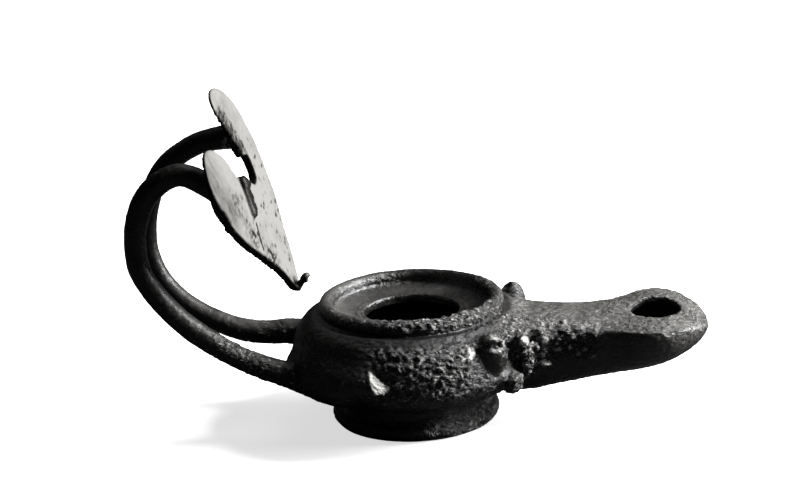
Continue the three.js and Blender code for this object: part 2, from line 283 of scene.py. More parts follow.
def skin(field, low, cell):
    """Points and quads over the field's zero level, one point for each cell it crosses."""
    solid = field < 0
    corners = [(a, b, c) for a in (0, 1) for b in (0, 1) for c in (0, 1)]
    nx, ny, nz = (n - 1 for n in field.shape)
    count = sum(solid[a:a + nx, b:b + ny, c:c + nz].astype(np.int8) for a, b, c in corners)
    cells = np.argwhere((count > 0) & (count < 8))
    label = np.full((nx, ny, nz), -1)
    label[tuple(cells.T)] = np.arange(len(cells))
    total = np.zeros((len(cells), 3))
    hits = np.zeros(len(cells))
    for axis in range(3):
        for corner in corners:
            if corner[axis]:
                continue
            here = cells + corner
            there = here.copy()
            there[:, axis] += 1
            a, b = field[tuple(here.T)], field[tuple(there.T)]
            crossed = (a < 0) != (b < 0)
            hit = np.array(corner, float) + np.zeros((len(cells), 3))
            hit[:, axis] += np.where(crossed, a / np.where(crossed, a - b, 1.0), 0.0)
            total += np.where(crossed[:, None], hit, 0.0)
            hits += crossed
    points = cells + total / hits[:, None]
    slope = [np.gradient(field, axis=i) for i in range(3)]
    for _ in range(2):
        value = sample(field, points)
        g = np.stack([sample(s, points) for s in slope], axis=1)
        push = value[:, None] * g / np.maximum((g * g).sum(axis=1, keepdims=True), 1e-6)
        points -= np.clip(push, -0.4, 0.4)
    g = np.stack([sample(s, points) for s in slope], axis=1)
    normals = g / np.maximum(np.linalg.norm(g, axis=1, keepdims=True), 1e-9)
    quads = []
    for axis in range(3):
        u, v = (axis + 1) % 3, (axis + 2) % 3
        edge = [slice(None)] * 3
        edge[axis] = slice(0, -1)
        other = list(edge)
        other[axis] = slice(1, None)
        a, b = solid[tuple(edge)], solid[tuple(other)]
        for flips, crossed in ((False, a & ~b), (True, ~a & b)):
            where = np.argwhere(crossed)
            where = where[(where[:, u] > 0) & (where[:, v] > 0)
                          & (where[:, u] < label.shape[u]) & (where[:, v] < label.shape[v])]
            ring = []
            for du, dv in ((1, 1), (0, 1), (0, 0), (1, 0)):
                beside = where.copy()
                beside[:, u] -= du
                beside[:, v] -= dv
                ring.append(label[tuple(beside.T)])
            quads.append(np.stack(ring[::-1] if flips else ring, axis=1))
    return largest_part(points * cell + np.asarray(low), normals, np.concatenate(quads))


def largest_part(points, normals, quads):
    """The skin without crumbs that touch it only at corners or along pinched edges."""
    sides = np.sort(np.stack([quads, np.roll(quads, -1, axis=1)], axis=-1), axis=-1)
    side = (sides[..., 0] * len(points) + sides[..., 1]).ravel()
    _, which, count = np.unique(side, return_inverse=True, return_counts=True)
    order = np.argsort(which, kind="stable")
    shared = order[count[which[order]] == 2].reshape(-1, 2) // 4
    label = np.arange(len(quads))
    while True:
        lowest = label.copy()
        for column in (0, 1):
            np.minimum.at(lowest, shared[:, column], label[shared].min(axis=1))
        lowest = lowest[lowest]
        if np.array_equal(lowest, label):
            break
        label = lowest
    quads = quads[label == np.bincount(label).argmax()]
    kept = np.unique(quads)
    return points[kept], normals[kept], np.searchsorted(kept, quads)


def speckle(points, size, octaves=3, shift=0.0):
    """Smooth random value at each point, about -1 to 1, with features of the given size."""
    at = points / size + shift
    return np.array([noise.fractal(p, 0.9, 2.1, octaves) for p in at.tolist()])


def craters(points, size, shift=0.0):
    """Distance to the nearest of many scattered centres, 0 at a centre and about 1 far away."""
    at = points / size + shift
    return np.array([noise.voronoi(p)[0][0] for p in at.tolist()])


def mesh_piece(name, points, faces, place=None, **marks):
    """Object from millimetre points, smooth, with one number per point for each mark."""
    mesh = bpy.data.meshes.new(name)
    mesh.vertices.add(len(points))
    mesh.vertices.foreach_set("co", (np.asarray(points) * MM).ravel())
    mesh.loops.add(faces.size)
    mesh.loops.foreach_set("vertex_index", faces.ravel())
    mesh.polygons.add(len(faces))
    mesh.polygons.foreach_set("loop_start", np.arange(0, faces.size, faces.shape[1]))
    mesh.update(calc_edges=True)
    mesh.validate()
    if place is not None:
        mesh.transform(place)
    for mark, values in marks.items():
        mesh.attributes.new(mark, "FLOAT", "POINT").data.foreach_set(
            "value", np.asarray(values, float))
    mesh.shade_smooth()
    piece = bpy.data.objects.new(name, mesh)
    bpy.context.scene.collection.objects.link(piece)
    return piece


def thin_out(piece, mark, keep):
    """Fewer faces where the mark is 1, on sides that nobody sees closely."""
    values = np.zeros(len(piece.data.vertices))
    piece.data.attributes[mark].data.foreach_get("value", values)
    group = piece.vertex_groups.new(name=mark)
    group.add(np.nonzero(values > 0.5)[0].tolist(), 1.0, "REPLACE")
    fewer = piece.modifiers.new("fewer faces", "DECIMATE")
    fewer.ratio = keep
    fewer.vertex_group = mark
    fewer.vertex_group_factor = 1.0
    with bpy.context.temp_override(object=piece, active_object=piece, selected_objects=[piece]):
        bpy.ops.object.modifier_apply(modifier=fewer.name)
    piece.vertex_groups.clear()
    piece.data.shade_smooth()


def finish_piece(piece, node, material):
    piece.data.materials.append(material)
    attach(piece, "root")
    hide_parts(node)


# ---- lamp body ------------------------------------------------------------------------------

def bowl_wall(s):
    return spline([(23.9, 9.9), (28.8, 11.2), (33.6, 14.2), (36.0, 17.2), (s.bowl, 20.5),
                   (36.5, 24.4), (35.2, 28.6), (32.8, 32.2), (29.9, 34.3)], 8)


def outer_profile(s):
    """Half section of the lamp's outside, from under the foot to the middle of the dish."""
    torus = (s.foot - 2.4, 2.6)
    lip = (s.lip, s.top - s.tube)
    return [
        (0, 0), (4.0, 0), (5.2, 2.4), (11.0, 2.4), (11.8, 1.5), (12.8, 1.5), (13.6, 2.4),
        (19.9, 2.4), (20.5, 0), (24.0, 0),
        *arc(torus, 2.4, -45, 72, 12),
        (23.5, 5.6), (23.0, 6.3), (23.2, 9.0),
        *bowl_wall(s),
        (29.2, 33.9), (28.4, 34.0), (27.5, 34.1),
        *arc(lip, s.tube, -34, 186, 20),
        (s.lip - s.tube + 0.1, 35.3), (s.lip - s.tube - 0.7, 34.7), (19.8, 33.9), (17.4, 33.4),
        (17.0, 33.3), (16.7, 33.7), (16.3, 33.9), (15.9, 33.5), (15.5, 33.4), (15.2, 33.7),
        (14.9, 33.8), (0, 33.8),
    ]


def cavity_profile(s):
    """Half section of the space inside the bowl, open at the top."""
    wall = bowl_wall(s)[4:-3]
    along = np.gradient(wall, axis=0)
    along /= np.linalg.norm(along, axis=1, keepdims=True)
    inner = wall + np.stack([-along[:, 1], along[:, 0]], axis=1) * s.wall
    return [(0, 6.6), (17.3, 6.9), (20.6, 8.4), *map(tuple, inner[inner[:, 1] > 9.4]),
            (23.0, 31.9), (s.hole, 30.8), (s.hole, s.top + 4), (0, s.top + 4)]


def whole_section(profile):
    """Closed outline of a half section and its mirror image."""
    half = np.array(profile, float)
    return np.concatenate([half, half[::-1] * (-1, 1)])


def turned(profile, xs, ys, zs):
    """Field of a profile turned about the upright axis."""
    ring = whole_section(profile)
    fine = 0.15
    reach = math.hypot(np.abs(xs).max(), np.abs(ys).max()) + 1.0
    radii = np.arange(0.0, reach, fine)
    table = outline_distance(ring, *np.meshgrid(radii, zs, indexing="ij"))
    r = np.sqrt(xs[:, None] ** 2 + ys[None, :] ** 2) / fine
    low = np.floor(r).astype(int)
    part = (r - low)[:, :, None]
    return table[low] * (1 - part) + table[low + 1] * part


NOZZLE_HALF = through([
    (20, 20.0), (28, 18.2), (36, 15.4), (44, 13.3), (52, 12.7), (58, 13.1), (63, 14.6), (67, 16.6),
    (71, 17.9), (75, 17.8), (79, 16.2), (83, 12.8), (86.3, 8.8), (88.4, 4.6), (89, 1.6)])
NOZZLE_TOP = through([
    (20, 31.0), (34, 32.2), (44, 31.9), (55, 31.5), (63, 31.7), (70, 32.4), (77, 32.4), (82, 31.6),
    (86.3, 30.0), (88.4, 28.3), (89, 27.4)])
NOZZLE_UNDER = through([
    (20, 10.0), (34, 8.6), (44, 10.0), (56, 12.4), (68, 15.4), (76, 17.8), (82, 20.2),
    (86.3, 22.8), (88.4, 25.0), (89, 26.2)])
NOZZLE_TIP_X = 89.0
NOZZLE_TWIST = math.radians(5.5)


def nozzle_ring(x, inset):
    """Section across the nozzle as (y, z): crowned top, upright shoulders, rounded belly."""
    half = max(float(NOZZLE_HALF(x)) - inset, 0.4)
    top, under = float(NOZZLE_TOP(x)) - inset, float(NOZZLE_UNDER(x)) + inset
    shoulder = top + (under - top) * 0.16
    twist = NOZZLE_TWIST * float(smoothstep(x, 40, 70))
    turn = np.linspace(0, 2 * math.pi, 64, endpoint=False)
    c, s = np.cos(turn), np.sin(turn)
    y = half * np.sign(c) * np.abs(c) ** np.where(s > 0, 0.5, 0.75)
    rise = np.where(s > 0, (top - shoulder) * np.abs(s) ** 0.8, (under - shoulder) * np.abs(s))
    return np.stack([y * math.cos(twist), shoulder + rise + y * math.sin(twist)], axis=1)


def nozzle(xs, ys, zs, inset, start, end):
    """Field of the nozzle's skin moved inward by the inset."""
    out = np.full((len(xs), len(ys), len(zs)), 30.0)
    y, z = np.meshgrid(ys, zs, indexing="ij")
    for i, x in enumerate(xs):
        if x < start - 6 or x > end + 3:
            continue
        flat = outline_distance(nozzle_ring(min(max(x, start), end - 0.05), inset), y, z)
        past = max(x - end, start - x, 0.0)
        out[i] = np.where(flat > 0, np.hypot(flat, past), past) if past else flat
    slope = np.gradient(out, xs[1] - xs[0], axis=0)
    return out / np.sqrt(1.0 + np.clip(slope, -3, 3) ** 2)


# Scroll lumps on the near side, then the far side: centre and radii of each.
NEAR_SCROLL = [
    ((24.7, -24.4, 27.2), (4.9, 4.2, 6.2)), ((25.2, -26.0, 32.0), (3.0, 2.2, 1.5)),
    ((33.6, -19.6, 28.6), (2.6, 2.6, 3.4)), ((34.8, -17.6, 23.0), (2.2, 2.7, 5.2)),
    ((39.8, -14.4, 28.2), (2.1, 2.1, 2.8)), ((36.9, -16.4, 26.4), (1.6, 2.0, 1.6)),
    ((30.2, -20.8, 17.3), (3.5, 3.5, 3.9)), ((26.4, -23.0, 19.6), (2.6, 2.6, 2.6)),
    ((40.2, -14.4, 20.2), (2.2, 1.2, 0.8)),
]
NEAR_FINS = [((24.2, -28.2, 29.4), (29.6, -25.4, 28.8), 0.6),
             ((28.0, -25.6, 29.2), (29.4, -24.2, 32.6), 0.5)]
FAR_SCROLL = [
    ((29.8, 21.6, 28.6), (4.1, 3.9, 6.3)), ((34.0, 17.6, 25.6), (4.6, 3.2, 4.4)),
    ((31.4, 19.6, 16.6), (3.7, 3.4, 3.6)),
]
SCROLL_EYES = [((27.9, 21.0, 34.9), 1.8), ((30.6, -23.6, 30.8), 1.5), ((27.0, -26.2, 31.0), 0.9)]
# Painted highlights on the near scrolls and the wall beside them: centre, radii and how strongly.
PAINTED_SPOTS = [((19.2, -29.4, 29.6), (1.1, 1.8, 2.3), 1.0), ((25.2, -27.2, 32.6), (2.2, 1.5, 1.0), 0.42),
         ((34.4, -21.4, 29.9), (1.4, 1.4, 1.6), 0.8), ((40.3, -16.2, 28.4), (1.1, 1.1, 1.6), 0.4),
         ((40.2, -15.4, 20.4), (1.8, 1.1, 0.6), 0.6), ((33.2, -21.4, 19.4), (0.7, 1.0, 0.7), 0.35),
         ((26.8, -27.6, 29.3), (2.6, 1.2, 0.5), 0.4), ((28.8, -25.2, 31.0), (0.5, 0.8, 1.7), 0.55)]
WICK_HOLE_X = 73.4

# Corners of the grid that the body is drawn on, outside its strap and scrolls.
BODY_LOW, BODY_HIGH = (-40.74, -40.74, -1.5), (91.0, 38.5, 40.5)

STRAP_END = 74.0       # degrees round the bowl from the handle's side to the strap's cut end
STRAP_TOP = 29.2
FACET_LOW, FACET_HIGH = 20.3, 26.4
FACET_SLANT, FACET_SPREAD = 0.6, 1.25      # degrees for each millimetre down from its top


def strap_height(around, z, height):
    """How far the strap under the near strand stands off the bowl, at an angle and a level."""
    edge = STRAP_TOP - 3.0 * (1 - smoothstep(around, 14, 40))
    rise = smoothstep(edge - z, 0.0, 7.5) * smoothstep(z, 10.5, 15.0)
    down = np.clip(FACET_HIGH - z, 0.0, 6.5)
    past = around - STRAP_END - FACET_SLANT * down
    end = 1.0 - np.clip(past / (0.8 + FACET_SPREAD * down), 0.0, 1.0)
    end = np.where(z < FACET_LOW, np.minimum(end, 1 - smoothstep(around, 52, 66)), end)
    return height * rise * end * smoothstep(around, 2, 14)


def body_field(s, xs, ys, zs):
    grid = open_grid(xs, ys, zs)
    x, y, z = grid
    bowl = turned(outer_profile(s), xs, ys, zs)
    around = np.degrees(np.arctan2(-y, -x))
    bowl = bowl - strap_height(around, z, s.strap) * smoothstep(np.hypot(x, y), 20, 26)
    spout = nozzle(xs, ys, zs, 0.0, 20.0, NOZZLE_TIP_X)
    soft = 2.6 * smoothstep(x, 26, 32) + 0.5
    solid = blend(bowl, spout, soft)
    for centre, radii in NEAR_SCROLL + FAR_SCROLL:
        solid = blend(solid, lump(grid, centre, radii), 0.9)
    for start, end, radius in NEAR_FINS:
        solid = blend(solid, rod(grid, start, end, radius), 0.3)
    for centre, radius in SCROLL_EYES:
        solid = carve(solid, lump(grid, centre, (radius, radius, radius * 1.3)), 0.5)
    edge = [(t, nozzle_ring(t, 0.0)[28]) for t in (63.5, 67.0, 71.0, 75.0, 79.0, 82.5)]
    for (x0, a), (x1, b) in zip(edge, edge[1:]):
        ridge = rod(grid, (x0, a[0] + 0.35, a[1] - 0.2), (x1, b[0] + 0.35, b[1] - 0.2), 0.8)
        solid = blend(solid, ridge, 0.35)
    # lip and groove stay crisp over the nozzle's root
    collar = np.maximum(turned([(0, 33.8), (28.6, 33.8), (27.8, 42), (0, 42)], xs, ys, zs), -bowl)
    solid = np.maximum(solid, -collar)
    solid = np.minimum(solid, bowl)
    hollow = blend(turned(cavity_profile(s), xs, ys, zs), nozzle(xs, ys, zs, s.wall, 24.0, 84.2),
                   1.2)
    hole = np.maximum(np.hypot(x - WICK_HOLE_X, y) - s.wick, 24.0 - z)
    nick = lump(grid, (WICK_HOLE_X - s.wick + 0.4, 0.6, 32.6), (2.4, 1.5, 1.4))
    return carve(carve(solid, hollow, 0.3), blend(hole, nick, 0.6), 0.7)


def corrosion_and_painted_light(p, normals):
    """How crusty each point of the body is, 0 smooth to 1 worst, and how high its crust is; some
    of the crust stands for painted light.
    """
    x, y, z = p.T
    r = np.hypot(x, y)
    around = np.degrees(np.arctan2(y, x))
    wall = band(around, -122, -98, -36, -20) * band(z, 13, 18, 31, 33) * (r < 39)
    # More crust round one spot on the front wall, less away from it: a painted highlight.
    wall = wall * (0.78 + 0.35 * spot(around, z, (-62, 27), (260, 18)))
    root = band(x, 14, 24, 52, 62) * smoothstep(-y, 4, 9)
    root = root * smoothstep(z, 17, 24)
    coil = np.exp(-(((x - 25.0) / 6.0) ** 4 + ((z - 24.4) / 5.6) ** 4)) * (y < -20) * (r > 33.5)
    lip = smoothstep(z, 33.6, 35.5) * (r > 22.5) * (r < 29.5)
    lip = lip * (0.1 + 0.8 * smoothstep(-y, 3, 14) * (0.5 + 0.5 * smoothstep(x, -16, 4))
                 + 0.4 * smoothstep(x, 12, 22))
    # Crust on the foot's right front: real corrosion, raised here to paint a highlight.
    foot = 0.9 * (z < 6.5) * smoothstep(x, 0, 8) * smoothstep(-y, 6, 12)
    top = smoothstep(x, 26, 32) * smoothstep(z, 28, 30.5) * smoothstep(normals[:, 2], 0.5, 0.8)
    scroll = band(x, 20, 24, 38, 46) * smoothstep(np.abs(y), 11, 14)
    scroll = scroll * np.where(y > 0, 0.3, 1.0)
    calm = np.where((r < 24.5) & (z > 30), 0.05, 0.14)
    rust = np.maximum.reduce([wall, 0.95 * root, lip, 0.5 * top, 0.9 * scroll, foot, calm])
    lift = np.maximum.reduce([wall, 0.9 * root, 0.66 * lip, 0.3 * top, 0.6 * scroll,
                              0.45 * foot, calm])
    # The near coil loses its crust so that it stays dark: painted shade.
    patchy = (0.88 + 0.5 * speckle(p, 7.0, 2, 3.0)) * (1 - 0.9 * coil)
    return np.clip(rust * patchy, 0.0, 1.0), np.clip(lift * patchy, 0.0, 1.0)


def cavity_of_body(s, p, normals):
    """Points on the walls of the bowl, the nozzle and the wick hole."""
    x, y, z = p.T
    r = np.hypot(x, y)
    from_wick = np.hypot(x - WICK_HOLE_X, y)
    bowl = (r < 34.6) & (z > 6.2) & (z < 33.0) & (bowl_depth(s, p) < -1.2)
    inside = (nozzle_depth(p) < -1.2) | bowl
    inside &= ~((r < s.hole + 1.2) & (z > 31.0))
    inside &= ~(from_wick < s.wick + 1.0)
    return inside | ((from_wick < s.wick + 0.6) & (normals[:, 2] < 0.4))


def dust_on_body(p, normals):
    """Earthy film on the dish and the nozzle's top, with painted light: the lip's painted shadow
    on the dish's right and back, a painted highlight on the lip's left and a painted reflection of
    the table on the down-facing sides round the nozzle's tip.
    """
    x, y, z = p.T
    r = np.hypot(x, y)
    # The film thins towards the dish's right and back: painted shadow of the lip.
    dish = 0.62 - 0.54 * smoothstep(x, -6, 10)
    dish = dish * (1 - 0.7 * smoothstep(y, 4, 15)) + 0.35 * spot(x, y, (7, 19), (60, 10))
    dish = (r < 23.2) * dish * (0.75 + 0.5 * speckle(p, 5.0, 3, 6.0))
    # Film on the lip's left: a painted highlight.
    lip = (r > 23.2) * (r < 28.0) * (z > 34.0) * 0.6 * smoothstep(-x, 4, 20)
    spout = smoothstep(x, 24.5, 34) * (r > 28.4) * (0.85 + 0.35 * speckle(p, 3.0, 3, 1.0))
    up = normals[:, 2]
    flat = np.where(x > 28.0, smoothstep(up, 0.66, 0.94), smoothstep(up, 0.5, 0.9))
    # Film on the down-facing sides round the tip: painted reflection of the table.
    tip = 0.30 * smoothstep(x, 64, 74) * smoothstep(up, -0.75, -0.1)
    film = np.maximum(flat * np.maximum.reduce([dish, lip, spout]), tip)
    return np.clip(film, 0.0, 1.0) * (z > 14.0)


def strap_end_highlight(p):
    """The painted highlight on the facet at the strap's cut end."""
    x, y, z = p.T
    down = FACET_HIGH - z
    past = np.degrees(np.arctan2(-y, -x)) - STRAP_END - FACET_SLANT * down
    facet = smoothstep(past, -0.4, 0.3) * (z > FACET_LOW) * (z < FACET_HIGH)
    facet *= 1 - smoothstep(past - FACET_SPREAD * down, -0.2, 0.5)
    rounded_end = smoothstep(z - 0.045 * past ** 2, FACET_LOW - 0.6, FACET_LOW + 0.6)
    return facet * (np.hypot(x, y) > 30.0) * rounded_end


def painted_highlights(p, normals, rust, grain):
    """Painted highlights at their places, and painted glints on the crust's grains."""
    x, y, z = p.T
    spot_highlights = sum(strength * smoothstep(-lump((x, y, z), centre, radii), -0.1, 0.25)
                for centre, radii, strength in PAINTED_SPOTS)
    glints = 0.5 * smoothstep(grain, 0.3, 0.55) * smoothstep(rust, 0.5, 0.9)
    glints *= normals[:, 1] < 0.2
    glints *= np.where(z < 6.0, 1.0, smoothstep(np.degrees(np.arctan2(y, x)), -110, -62))
    return np.maximum(spot_highlights, glints)


def build_body(settings, finish):
    s = body_lengths(settings)
    cell = s.cell * 1.0
    xs, ys, zs = axes(BODY_LOW, BODY_HIGH, cell)
    p, normals, quads = skin(body_field(s, xs, ys, zs), BODY_LOW, cell)
    x, y, z = p.T
    r = np.hypot(x, y)
    inside = cavity_of_body(s, p, normals)
    hidden = inside | ((z < 3.0) & (r < 19.5))
    rust, lift = corrosion_and_painted_light(p, normals) * np.where(inside, 0.15, 1.0)
    grain = speckle(p, 1.3, 3)
    crust = speckle(p, 3.1, 4, 11.0)
    pit = 1.0 - smoothstep(craters(p, 2.6, 5.0), 0.12, 0.42)
    push = s.relief * lift * (0.8 * grain + 0.35 * crust - 0.5 * pit * (lift > 0.35))
    push += 0.04 * grain + 0.10 * speckle(p, 9.0, 2, 7.0)
    push *= smoothstep(z, 0.0, 0.6)      # the seat stays flat
    hollows = np.clip(0.5 - push / s.relief, 0.0, 1.0)
    # Painted highlight on the strap's cut end.
    facet = strap_end_highlight(p)
    push *= 1 - 0.8 * facet
    # Painted shade: the band under the lip and the inside of the cavity take the deep shade colour
    # through the dark mark.
    shoulder = band(z, 31.6, 33.0, 34.3, 35.0) * (r > 26.6) * (r < 34)
    shoulder *= 1 - smoothstep(x, 20, 27)
    # Painted highlights in the pale colour: the strap's cut end, the listed spots on the scrolls
    # and the glints on the crust.
    pale = np.clip(np.maximum(facet, painted_highlights(p, normals, rust, grain)), 0.0, 1.0)
    piece = mesh_piece("lamp_body", p + normals * push[:, None], quads, rust=rust,
                       hollow=hollows, hidden=hidden, dark=np.maximum(inside, 0.9 * shoulder),
                       dust=dust_on_body(p, normals) * ~inside, pale=pale)
    thin_out(piece, "hidden", 0.62)
    finish_piece(piece, "lamp_body", finish["body"])


def nozzle_depth(p):
    """Rough depth of points under the nozzle's skin, negative inside it."""
    out = np.full(len(p), 9.0)
    for start in np.arange(26.0, 88.0, 2.0):
        here = np.nonzero((p[:, 0] >= start) & (p[:, 0] < start + 2.0))[0]
        if len(here):
            out[here] = outline_distance(nozzle_ring(start + 1.0, 0.0), p[here, 1], p[here, 2])
    return out


def bowl_depth(s, p):
    return outline_distance(whole_section(outer_profile(s)), np.hypot(p[:, 0], p[:, 1]), p[:, 2])


# ---- handle ---------------------------------------------------------------------------------

NEAR_PATH = [
    (-22.0, 14.6), (-30.0, 17.2), (-38.6, 20.4), (-47.4, 23.7), (-56.4, 28.8), (-65.6, 35.6),
    (-73.8, 44.7), (-78.5, 53.2), (-79.3, 61.4), (-77.8, 69.8), (-73.4, 77.6), (-64.8, 82.2),
    (-56.4, 78.9), (-46.5, 72.0)]
FAR_PATH = [
    (-26, 21.2), (-40, 22.0), (-49.4, 22.0), (-59.4, 24.6), (-71.8, 31.8), (-78.8, 39.8),
    (-81.9, 47.4), (-82.4, 56.6), (-79.6, 68.4), (-73.8, 77.2), (-65.2, 82.8), (-56.6, 84.8),
    (-46.0, 84.8)]


def strand_field(h, s, path, side, xs, ys, zs):
    """Bent bar, swelling at both ends, with a fillet of solder where it meets the bowl."""
    line = spline(path, 14, even=False)
    x2, z2 = np.meshgrid(xs, zs, indexing="ij")
    gap, along = line_distance(line, x2, z2)
    radius = h.radius * (1 + 0.24 * (1 - smoothstep(along, 0, 0.3))
                         + 0.2 * smoothstep(along, 0.82, 1.0))
    grid = open_grid(xs, ys, zs)
    x, y, z = grid
    bar = np.sqrt(gap[:, None, :] ** 2 + (y - side * h.side) ** 2) - radius[:, None, :]
    bowl = turned(outer_profile(s), xs, ys, zs)
    fillet = np.maximum(blend(bar, bowl, 4.5), bar - 2.6)
    return np.maximum(np.minimum(bar, fillet), -(bowl + 0.9))


def ahead_of_leaf(grid):
    """How far each grid point is in front of the plane of the leaf's face."""
    x, y, z = grid
    a, b, c, d = leaf_place().inverted()[2]
    return a * x + b * y + c * z + d


def build_strand(settings, body, leaf, finish, name, path, side):
    h = lengths(settings, radius="strand_radius", side="strand_side", relief="relief",
                cell="cell")
    s = body_lengths(body)
    cell = h.cell * 1.0
    middle = side * h.side
    low = (-88.0, middle - 8.5, 8.0)
    high = (-20.0, middle + 8.5, 92.0)
    xs, ys, zs = axes(low, high, cell)
    ahead = ahead_of_leaf(open_grid(xs, ys, zs))
    thick = leaf.thickness / MM
    field = strand_field(h, s, path, side, xs, ys, zs)
    field = np.maximum(field, ahead + thick - 0.5)
    p, normals, quads = skin(field, low, cell)
    rough = np.clip(0.35 + 0.5 * speckle(p, 9.0, 2, 2.0), 0.05, 1.0)
    crusty = smoothstep(p[:, 0], -66, -52) * (p[:, 2] < 40) * (0.75 if side < 0 else 0.5)
    rust = np.clip(np.maximum(0.2 * rough, crusty * (0.6 + 0.6 * speckle(p, 6.0, 2))), 0.0, 1.0)
    grain = speckle(p, 1.3, 3, 4.0)
    push = h.relief * (0.9 * speckle(p, 12.0, 2, 9.0) + (0.25 + 1.7 * rust) * grain)
    p = p + normals * push[:, None]
    hollows = np.clip(0.5 - push / 0.5, 0.0, 1.0)
    pale = np.zeros(len(p))
    if side > 0:
        # Painted highlight along the far strand's end near the leaf, in the pale highlight colour.
        ridge = smoothstep(p[:, 0], -57, -54) * smoothstep(-normals[:, 1], 0.0, 0.5)
        pale = 0.7 * ridge * (p[:, 2] > 70.0) * smoothstep(speckle(p, 1.6, 2, 1.0), 0.0, 0.3)
    # Film on the strands' upper sides, heavier on the far strand, where it is partly a painted
    # highlight.
    dust = smoothstep(normals[:, 2], 0.1, 0.9) * (0.3 if side > 0 else 0.08)
    dust = dust * np.clip(0.8 + 0.6 * speckle(p, 5.0, 2, 8.0), 0.0, 1.0)
    piece = mesh_piece(name, p, quads, rust=rust, hollow=hollows, pale=pale, dust=dust)
    finish_piece(piece, name, finish["handle"])


# ---- leaf -----------------------------------------------------------------------------------

LEAF_TIP = Vector((-34.7, 7.0, 39.6))
LEAF_LEAN = math.radians(19)
LEAF_YAW = math.radians(-6)
LEAF_ROLL = math.radians(14)

LOBE_LEFT = [
    (1.4, -1.9), (5.0, 2.6), (12.3, 12.4), (20.4, 24.2), (24.2, 35.6), (25.9, 44.5), (24.4, 54.8),
    (19.2, 61.8), (12.4, 65.6), (7.8, 64.8), (6.4, 60.0), (8.6, 51.5), (10.8, 42.6)]
NOTCH = [(14.2, 41.0), (13.8, 37.0), (11.6, 33.8), (7.6, 33.8), (4.0, 37.0), (-1.0, 39.6)]
LOBE_RIGHT = [
    (-1.0, 39.6), (-3.6, 43.5), (-5.4, 50.0), (-10.0, 56.0), (-17.6, 59.4), (-23.6, 56.6),
    (-27.4, 49.8), (-26.4, 39.6), (-21.4, 29.4), (-13.0, 19.0), (-5.6, 9.4), (-1.5, 0.6)]
# Cracks in the face: start, end and half width.
CRACKS = [((-7.3, 28.0), (-10.0, 25.0), 0.4), ((-10.0, 25.0), (-12.4, 21.6), 0.45),
          ((-8.6, 19.4), (-7.6, 16.6), 0.35), ((-13.6, 28.6), (-13.0, 27.0), 0.4)]


def leaf_place():
    """From the leaf's own frame (millimetres) to the lamp's: X left, Y up, Z out of the face."""
    face = Vector((math.cos(LEAF_LEAN) * math.cos(LEAF_YAW),
                   math.cos(LEAF_LEAN) * math.sin(LEAF_YAW), math.sin(LEAF_LEAN)))
    left = Vector((0, 0, 1)).cross(face).normalized()
    up = face.cross(left)
    turn = Matrix((left, up, face)).transposed() @ Matrix.Rotation(LEAF_ROLL, 3, "Z")
    return Matrix.Translation(LEAF_TIP) @ turn.to_4x4()


def leaf_outline():
    return np.concatenate([spline(LOBE_LEFT, 10), spline(NOTCH, 10)[:-1], spline(LOBE_RIGHT, 10)])


def leaf_field(thick, xs, ys, zs):
    grid = open_grid(xs, ys, zs)
    x, y, z = grid
    flat = outline_distance(leaf_outline(), *np.meshgrid(xs, ys, indexing="ij"))[:, :, None]
    sheet = thick * (0.5 + 0.78 * (1 - smoothstep(y, 44, 58)))
    depth = np.abs(z + sheet / 2) - sheet / 2
    plate = -blend(-flat, -depth, 0.5)
    stalk = rod(grid, (-2.6, 40.6, 0.3), (-6.4, 31.4, 0.2), 1.6, 1.8)
    stalk = blend(stalk, lump(grid, (-2.6, 39.6, 1.0), (2.0, 2.2, 1.5)), 0.8)
    neck = rod(grid, (0.2, -0.4, -0.6), (0.0, 2.0, 2.4), 1.1, 0.9)
    curl = lump(grid, (0.0, 2.3, 3.3), (1.9, 1.5, 1.7))
    curl = carve(curl, lump(grid, (0.0, 1.4, 4.6), (2.4, 0.7, 0.9)), 0.4)
    out = blend(plate, stalk, 0.8)
    out = blend(out, blend(neck, curl, 0.7), 0.9)
    for start, end, deep in CRACKS:
        groove = rod(grid, (*start, 0.1), (*end, 0.1), deep)
        out = carve(out, groove, 0.25)
    return out


# Rough patches on the face: how strong, centre and squared spread.
LEAF_PATCHES = [(1.3, (-9.0, 16.0), (16, 12)), (0.8, (-15.0, 27.0), (14, 22)),
                (0.7, (-14.5, 39.0), (16, 26))]


